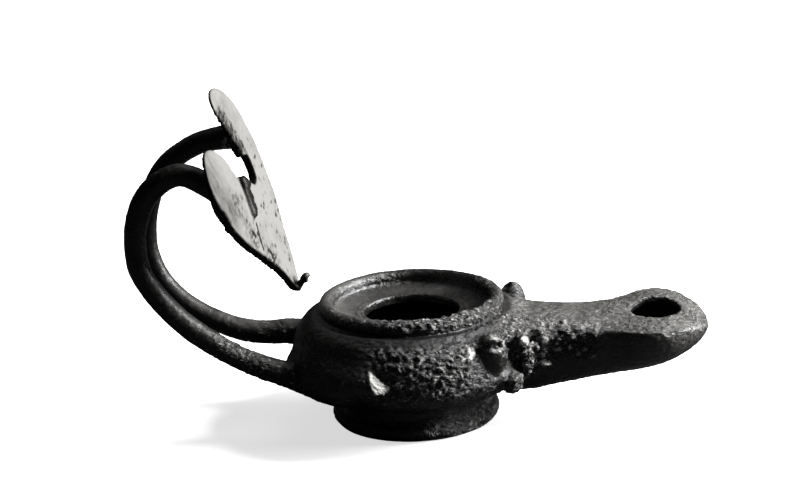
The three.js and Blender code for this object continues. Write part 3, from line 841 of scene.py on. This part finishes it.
def build_leaf(settings, finish):
    thick = settings.thickness / MM
    cell = settings.cell / MM * 1.0
    relief = settings.relief / MM
    low, high = (-30.5, -5.0, -6.0), (29.0, 69.0, 7.0)
    xs, ys, zs = axes(low, high, cell)
    p, normals, quads = skin(leaf_field(thick, xs, ys, zs), low, cell)
    x, y, _ = p.T
    face = smoothstep(normals[:, 2], 0.3, 0.7)
    edge = -outline_distance(leaf_outline(), x, y)
    patch = sum(strength * spot(x, y, centre, spread)
                for strength, centre, spread in LEAF_PATCHES)
    notch_side = band(x, 3, 7, 12, 17) * band(y, 40, 46, 58, 62) * (1 - smoothstep(edge, 2, 7))
    patch += 1.2 * notch_side
    line = (x + 2.2) - (y - 41.0) * 0.42
    stalk = smoothstep(1.9 - np.abs(line - 0.2), 0.0, 0.6) * band(y, 29.0, 30.6, 42.0, 43.0)
    rough = np.clip(patch + stalk + 0.22, 0.0, 1.0)
    grain = speckle(p, 1.2, 3)
    strokes = 1.0 - smoothstep(craters(p * (0.45, 0.8, 0.0), 1.9, 8.0), 0.2, 0.32)
    strokes *= smoothstep(speckle(p, 8.0, 2, 3.0), -0.25, 0.1) * (1 - smoothstep(y, 38, 50))
    strokes *= smoothstep(x, -19, -14)
    pits = 1.0 - smoothstep(craters(p, 3.4, 8.0), 0.08, 0.3)
    bumps = smoothstep(speckle(p, 4.0, 2, 6.0), 0.2, 0.6) * smoothstep(-x, 15, 21)
    push = relief * (0.8 * speckle(p, 10.0, 2, 4.0) + (0.15 + 1.7 * rough) * grain
                     - 1.1 * pits * (0.2 + rough) - 0.9 * strokes + 2.2 * bumps)
    p = p + normals * push[:, None]
    cracks = sum(1 - smoothstep(line_distance(np.array([start, end]) * (0.4, 1.0), 0.4 * x, y)[0],
                                0.2, 0.5) for start, end, _ in CRACKS)
    flecks = smoothstep(-speckle(p * (0.36, 0.8, 1.0), 0.9, 2, 5.0), -0.02, 0.12) * patch
    stain = 1.2 * flecks + 0.9 * strokes + cracks + 0.5 * pits * (y < 45)
    stain += 0.8 * notch_side * (0.8 + 0.8 * speckle(p * (0.4, 0.9, 1.0), 2.0, 2, 2.0)) + stalk
    stain = np.clip(stain, 0.0, 1.0)
    face = face * (1 - 0.6 * smoothstep(-x, 11, 21) * smoothstep(y, 30, 40)
                   * (0.8 + 0.6 * speckle(p * (1.0, 0.4, 1.0), 3.0, 2, 7.0)))
    face = np.clip(face * (1 - 0.97 * stalk), 0.0, 1.0)
    # Painted shade: the face darkens towards its rim.
    painted_rim_shade = 1 - smoothstep(edge, 0.1, 0.9)
    piece = mesh_piece("leaf_reflector", p, quads, Matrix.Scale(MM, 4) @ leaf_place()
                       @ Matrix.Scale(1 / MM, 4), face=face * (1 - 0.3 * painted_rim_shade), rust=rough,
                       stain=stain)
    finish_piece(piece, "leaf_reflector", finish["leaf"])


# ---- shader groups and materials ------------------------------------------------------------

def node_group(name, inputs, outputs):
    """Empty group with named sockets, and its input and output nodes."""
    tree = bpy.data.node_groups.new(name, "ShaderNodeTree")
    for label, kind, default in inputs:
        socket = tree.interface.new_socket(name=label, in_out="INPUT", socket_type=kind)
        if default is not None:
            socket.default_value = default
    for label, kind in outputs:
        tree.interface.new_socket(name=label, in_out="OUTPUT", socket_type=kind)
    return tree, tree.nodes.new("NodeGroupInput"), tree.nodes.new("NodeGroupOutput")


def add(tree, kind, inputs=(), **options):
    """Node with its options set and its inputs linked or given a value."""
    node = tree.nodes.new(kind)
    for option, value in options.items():
        setattr(node, option, value)
    for key, value in dict(inputs).items():
        socket = node.inputs[key]
        if isinstance(value, bpy.types.NodeSocket):
            tree.links.new(value, socket)
        else:
            socket.default_value = value
    return node


def maths(tree, operation, a, b=0.0, clamp=False):
    return add(tree, "ShaderNodeMath", {0: a, 1: b}, operation=operation,
               use_clamp=clamp).outputs[0]


def times(tree, a, b, clamp=False):
    return maths(tree, "MULTIPLY", a, b, clamp)


def plus(tree, a, b):
    return maths(tree, "ADD", a, b)


def ramp(tree, value, low, high):
    """Value eased from 0 at low to 1 at high."""
    return add(tree, "ShaderNodeMapRange", {"Value": value, "From Min": low, "From Max": high},
               interpolation_type="SMOOTHSTEP").outputs["Result"]


def mix_colours(tree, factor, a, b):
    node = tree.nodes.new("ShaderNodeMix")
    node.data_type = "RGBA"
    for index, value in ((0, factor), (6, a), (7, b)):
        if isinstance(value, bpy.types.NodeSocket):
            tree.links.new(value, node.inputs[index])
        else:
            node.inputs[index].default_value = value
    return node.outputs[2]


def rgba(value, lighter=1.0):
    return (*(c * lighter for c in value), 1.0)


def lay(tree, base, amount, colour):
    """The base colour with a plain colour laid over it by an amount."""
    return mix_colours(tree, amount, base, rgba(colour))


def noise_of(tree, place, scale, detail, roughness=0.6):
    return add(tree, "ShaderNodeTexNoise", {"Vector": place, "Scale": scale, "Detail": detail,
                                            "Roughness": roughness}).outputs["Fac"]


def make_surface_group():
    """Fine bronze surface: crust, pits and stains that vary over the object."""
    tree, given, out = node_group(
        "Bronze Surface",
        [("Rust", "NodeSocketFloat", 0.3), ("Grain Size", "NodeSocketFloat", 1.0)],
        [("Height", "NodeSocketFloat"), ("Crust", "NodeSocketFloat"),
         ("Stain", "NodeSocketFloat"), ("Shine", "NodeSocketFloat")])
    place = add(tree, "ShaderNodeTexCoord").outputs["Object"]
    rust = given.outputs["Rust"]
    size = add(tree, "ShaderNodeVectorMath", {0: place, 3: given.outputs["Grain Size"]},
               operation="SCALE").outputs[0]
    size = add(tree, "ShaderNodeMapping", {"Vector": size, "Rotation": (0.0, 0.75, 0.0),
                                           "Scale": (0.62, 1.0, 1.15)}).outputs[0]
    wander = add(tree, "ShaderNodeTexNoise", {"Vector": size, "Scale": 700.0, "Detail": 2.0})
    wander = add(tree, "ShaderNodeVectorMath", {0: wander.outputs["Color"], 3: 0.0016},
                 operation="SCALE").outputs[0]
    flaky = add(tree, "ShaderNodeVectorMath", {0: size, 1: wander}, operation="ADD").outputs[0]
    flakes = add(tree, "ShaderNodeTexVoronoi", {"Vector": flaky, "Scale": 640.0},
                 feature="F1").outputs["Distance"]
    fine = noise_of(tree, size, 2600.0, 4.0, 0.7)
    coarse = noise_of(tree, size, 900.0, 5.0, 0.65)
    broad = noise_of(tree, size, 130.0, 3.0)
    pits = add(tree, "ShaderNodeTexVoronoi", {"Vector": size, "Scale": 620.0},
               feature="F1").outputs["Distance"]
    pit = ramp(tree, pits, 0.42, 0.12)
    deep = times(tree, pit, times(tree, rust, 0.6))
    raised = plus(tree, times(tree, fine, 0.35), times(tree, coarse, 0.75))
    raised = plus(tree, raised, times(tree, flakes, -0.55))
    raised = plus(tree, raised, 0.36)
    height = maths(tree, "SUBTRACT", raised, deep)
    thread = maths(tree, "ABSOLUTE", maths(tree, "SUBTRACT", coarse, 0.52))
    thread = times(tree, ramp(tree, thread, 0.035, 0.0), ramp(tree, fine, 0.45, 0.62))
    crust = maths(tree, "MAXIMUM", ramp(tree, height, 0.80, 0.90), times(tree, thread, 0.75))
    strength = plus(tree, times(tree, rust, 0.9), 0.1)
    tree.links.new(times(tree, height, strength), out.inputs["Height"])
    tree.links.new(crust, out.inputs["Crust"])
    tree.links.new(ramp(tree, broad, 0.42, 0.68), out.inputs["Stain"])
    shine = plus(tree, fine, times(tree, broad, 0.6))
    tree.links.new(ramp(tree, shine, 0.6, 1.05), out.inputs["Shine"])
    return tree


def start_material(name):
    material = bpy.data.materials.new(name)
    material.use_nodes = True
    tree = material.node_tree
    shader = tree.nodes["Principled BSDF"]
    return material, tree, shader


def mark_of(tree, name):
    return add(tree, "ShaderNodeAttribute", attribute_name=name).outputs["Fac"]


def surface(tree, group, rust, size=1.0):
    return add(tree, "ShaderNodeGroup", {"Rust": rust, "Grain Size": size},
               node_tree=group).outputs


def dress(tree, shader, base, rough, specular, height, distance):
    """Give a bronze its colour, roughness, shine and bump."""
    tree.links.new(base, shader.inputs["Base Color"])
    tree.links.new(rough, shader.inputs["Roughness"])
    shader.inputs["Specular IOR Level"].default_value = specular
    node = add(tree, "ShaderNodeBump", {"Height": height, "Distance": distance, "Strength": 1.0})
    tree.links.new(node.outputs["Normal"], shader.inputs["Normal"])


DEEP_SHADE = (0.0024, 0.0022, 0.002)      # painted shade inside the cavity and under the lip


def body_material(finish, group):
    material, tree, shader = start_material("Corroded Dark Bronze")
    rust = mark_of(tree, "rust")
    marks = surface(tree, group, rust)
    base = mix_colours(tree, times(tree, marks["Stain"], 0.5), rgba(finish.patina),
                       rgba(finish.patina, 1.6))
    base = lay(tree, base, times(tree, marks["Crust"], rust, True), finish.crust)
    green = times(tree, times(tree, marks["Stain"], rust),
                  ramp(tree, mark_of(tree, "hollow"), 0.5, 0.9), True)
    base = lay(tree, base, times(tree, green, 0.6), finish.verdigris)
    # Film that also paints light: the lip's shadow on the dish, a highlight on the lip's left and
    # the table's reflection under the nozzle's tip.
    film = times(tree, mark_of(tree, "dust"),
                 plus(tree, times(tree, marks["Stain"], 0.3), 0.6), True)
    base = lay(tree, base, film, finish.dust)
    # Painted highlights in the pale highlight colour.
    base = lay(tree, base, mark_of(tree, "pale"), finish.painted_highlight_colour)
    # Painted shade inside the cavity and under the lip.
    base = lay(tree, base, times(tree, mark_of(tree, "dark"), 0.92), DEEP_SHADE)
    rough = plus(tree, times(tree, marks["Shine"], 0.14), finish.polish - 0.08)
    dress(tree, shader, base, rough, 0.5, marks["Height"], 0.0019)
    return material


def handle_material(finish, group):
    material, tree, shader = start_material("Smooth Dark Bronze")
    rust = mark_of(tree, "rust")
    marks = surface(tree, group, rust, 0.9)
    base = mix_colours(tree, marks["Stain"], rgba(finish.patina), rgba(finish.patina, 1.7))
    base = lay(tree, base, times(tree, marks["Crust"], rust, True), finish.crust)
    # Film on the strands, partly a painted highlight on the far strand.
    base = lay(tree, base, mark_of(tree, "dust"), finish.dust)
    # Painted highlight on the far strand's end.
    base = lay(tree, base, mark_of(tree, "pale"), finish.painted_highlight_colour)
    rough = plus(tree, times(tree, marks["Shine"], 0.22), finish.polish)
    dress(tree, shader, base, rough, 0.3, marks["Height"], 0.0007)
    return material


def leaf_material(finish, group):
    material, tree, shader = start_material("Worn Pale Bronze")
    marks = surface(tree, group, mark_of(tree, "rust"), 0.8)
    face = mark_of(tree, "face")
    pale = mix_colours(tree, times(tree, marks["Stain"], 0.55), rgba(finish.leaf_face),
                       rgba(finish.leaf_face, 0.62))
    pale = mix_colours(tree, times(tree, marks["Crust"], 0.35), pale, rgba(finish.leaf_face, 1.3))
    spots = times(tree, mark_of(tree, "stain"), 0.95)
    pale = mix_colours(tree, spots, pale, rgba(finish.patina, 2.4))
    dark = lay(tree, rgba(finish.patina), times(tree, marks["Crust"], 0.06), finish.crust)
    base = mix_colours(tree, face, dark, pale)
    rough = plus(tree, times(tree, marks["Shine"], 0.2), 0.48)
    rough = plus(tree, rough, times(tree, mark_of(tree, "stain"), 0.3))
    dress(tree, shader, base, rough, 0.12, marks["Height"], 0.00045)
    return material


def table_material(name, value, roughness, glow, bounce):
    material, tree, shader = start_material(name)
    place = add(tree, "ShaderNodeTexCoord").outputs["Object"]
    cloth = noise_of(tree, place, 900.0, 3.0)
    tint = mix_colours(tree, cloth, rgba(value, 0.985), rgba(value))
    seen = add(tree, "ShaderNodeLightPath").outputs["Is Camera Ray"]
    tint = mix_colours(tree, seen, rgba(value, bounce), tint)
    tree.links.new(tint, shader.inputs["Base Color"])
    shader.inputs["Roughness"].default_value = roughness
    shader.inputs["Specular IOR Level"].default_value = 0.1
    shader.inputs["Emission Color"].default_value = (1.0, 1.0, 1.0, 1.0)
    tree.links.new(times(tree, seen, glow), shader.inputs["Emission Strength"])
    return material


FINISHES = {}


def finishes(scene):
    """The lamp's materials, made once and shared by the pieces."""
    if not FINISHES:
        look = scene.lamp_finish
        group = make_surface_group()
        FINISHES["body"] = body_material(look, group)
        FINISHES["handle"] = handle_material(look, group)
        FINISHES["leaf"] = leaf_material(look, group)
    return FINISHES


# ---- stage ----------------------------------------------------------------------------------

TARGET = Vector((-2.5, 0.0, 52.6)) * MM
CAMERA_RISE = math.radians(16.5)
CAMERA_TURN = math.radians(5.0)
CAMERA_ROLL = math.radians(3.04)
PICTURE_WIDTH = 800.0
STEPS_PER_MM = 3.33      # of the picture's width, for a millimetre at the target
TABLE_HALF = 4.0         # metres
TABLE_DROP = 0.00005     # keeps the table's face off the foot's
TABLE_CELLS = 24


def place_camera(distance):
    """Camera in front of the lamp's right side, a little above it and a little rolled."""
    back = Vector((math.sin(CAMERA_TURN) * math.cos(CAMERA_RISE),
                   -math.cos(CAMERA_TURN) * math.cos(CAMERA_RISE), math.sin(CAMERA_RISE)))
    right = Vector((math.cos(CAMERA_TURN), math.sin(CAMERA_TURN), 0.0))
    up = back.cross(right)
    cos, sin = math.cos(CAMERA_ROLL), math.sin(CAMERA_ROLL)
    turn = Matrix((right * cos - up * sin, right * sin + up * cos, back)).transposed()
    data = bpy.data.cameras.new("camera")
    data.sensor_width = 36.0
    data.lens = STEPS_PER_MM * distance / MM / PICTURE_WIDTH * data.sensor_width
    data.clip_start = 0.01
    camera = bpy.data.objects.new("camera", data)
    camera.matrix_world = Matrix.Translation(TARGET + back * distance) @ turn.to_4x4()
    bpy.context.scene.collection.objects.link(camera)
    bpy.context.scene.camera = camera


def area_light(name, place, aim, size, power):
    data = bpy.data.lights.new(name, "AREA")
    data.shape = "RECTANGLE"
    data.size, data.size_y = size
    data.energy = power
    light = bpy.data.objects.new(name, data)
    light.location = place
    light.rotation_euler = (Vector(aim) - Vector(place)).to_track_quat("-Z", "Y").to_euler()
    bpy.context.scene.collection.objects.link(light)


def build_stage(settings):
    steps = np.linspace(-TABLE_HALF, TABLE_HALF, TABLE_CELLS + 1)
    x, y = np.meshgrid(steps, steps, indexing="ij")
    points = np.stack([x.ravel(), y.ravel(), np.full(x.size, -TABLE_DROP)], axis=1) / MM
    index = np.arange(x.size).reshape(x.shape)
    quads = np.stack([index[:-1, :-1], index[1:, :-1], index[1:, 1:], index[:-1, 1:]],
                     axis=-1).reshape(-1, 4)
    floor = mesh_piece("table", points, quads)
    floor.data.materials.append(table_material("Pale Table", settings.floor, 0.9, settings.glow,
                                                settings.bounce))
    area_light("key", (1.22, 0.20, 0.68), (0.0, 0.0, 0.04), (0.5, 1.1), settings.key_power)
    area_light("rear", (0.3, 0.95, 1.95), (0.0, 0.0, 0.0), (1.7, 1.7), settings.rear_power)
    world = bpy.data.worlds.new("surroundings")
    world.use_nodes = True
    shade = world.node_tree.nodes["Background"]
    shade.inputs["Color"].default_value = (1.0, 1.0, 1.0, 1.0)
    shade.inputs["Strength"].default_value = settings.sky
    bpy.context.scene.world = world
    view = bpy.context.scene.view_settings
    view.view_transform = "Standard"
    view.look = "None"
    place_camera(settings.distance)


# ---- operators and panel --------------------------------------------------------------------

class LAMP_OT_body(bpy.types.Operator):
    """Build the hollow body with its foot, dish, nozzle and scrolls"""
    bl_idname = "lamp.body"
    bl_label = "Lamp body"

    def execute(self, context):
        build_body(context.scene.lamp_body, finishes(context.scene))
        return {"FINISHED"}


class LAMP_OT_handle(bpy.types.Operator):
    """Build the two bent strands of the handle"""
    bl_idname = "lamp.handle"
    bl_label = "Handle strands"

    def execute(self, context):
        scene = context.scene
        for name, path, side in (("handle_strand_right", NEAR_PATH, -1),
                                 ("handle_strand_left", FAR_PATH, 1)):
            build_strand(scene.lamp_handle, scene.lamp_body, scene.lamp_leaf, finishes(scene),
                         name, path, side)
        return {"FINISHED"}


class LAMP_OT_leaf(bpy.types.Operator):
    """Build the heart-shaped leaf that guards the handle"""
    bl_idname = "lamp.leaf"
    bl_label = "Leaf guard"

    def execute(self, context):
        build_leaf(context.scene.lamp_leaf, finishes(context.scene))
        return {"FINISHED"}


class LAMP_OT_stage(bpy.types.Operator):
    """Lay the table and set the lights and the camera"""
    bl_idname = "lamp.stage"
    bl_label = "Stage"

    def execute(self, context):
        build_stage(context.scene.lamp_stage)
        return {"FINISHED"}


class LAMP_PT_panel(bpy.types.Panel):
    """Sidebar panel with the lamp's pieces and their sizes"""
    bl_idname = "LAMP_PT_panel"
    bl_label = "Roman Oil Lamp"
    bl_space_type = "VIEW_3D"
    bl_region_type = "UI"
    bl_category = "Oil Lamp"

    def draw(self, context):
        for group, operator in GROUPS.values():
            box = self.layout.box()
            settings = getattr(context.scene, group)
            for name in settings.__annotations__:
                box.prop(settings, name)
            if operator:
                box.operator(operator)


GROUPS = {
    LampBodySettings: ("lamp_body", "lamp.body"),
    HandleSettings: ("lamp_handle", "lamp.handle"),
    LeafSettings: ("lamp_leaf", "lamp.leaf"),
    FinishSettings: ("lamp_finish", None),
    StageSettings: ("lamp_stage", "lamp.stage"),
}
CLASSES = [*GROUPS, LAMP_OT_body, LAMP_OT_handle, LAMP_OT_leaf, LAMP_OT_stage, LAMP_PT_panel]


def register():
    for cls in CLASSES:
        bpy.utils.register_class(cls)
    for cls, (name, _) in GROUPS.items():
        setattr(bpy.types.Scene, name, bpy.props.PointerProperty(type=cls))


def unregister():
    for name, _ in GROUPS.values():
        delattr(bpy.types.Scene, name)
    for cls in reversed(CLASSES):
        bpy.utils.unregister_class(cls)


def main():
    register()
    bpy.ops.lamp.body()
    bpy.ops.lamp.handle()
    bpy.ops.lamp.leaf()
    bpy.ops.lamp.stage()


if __name__ == "__main__":
    main()
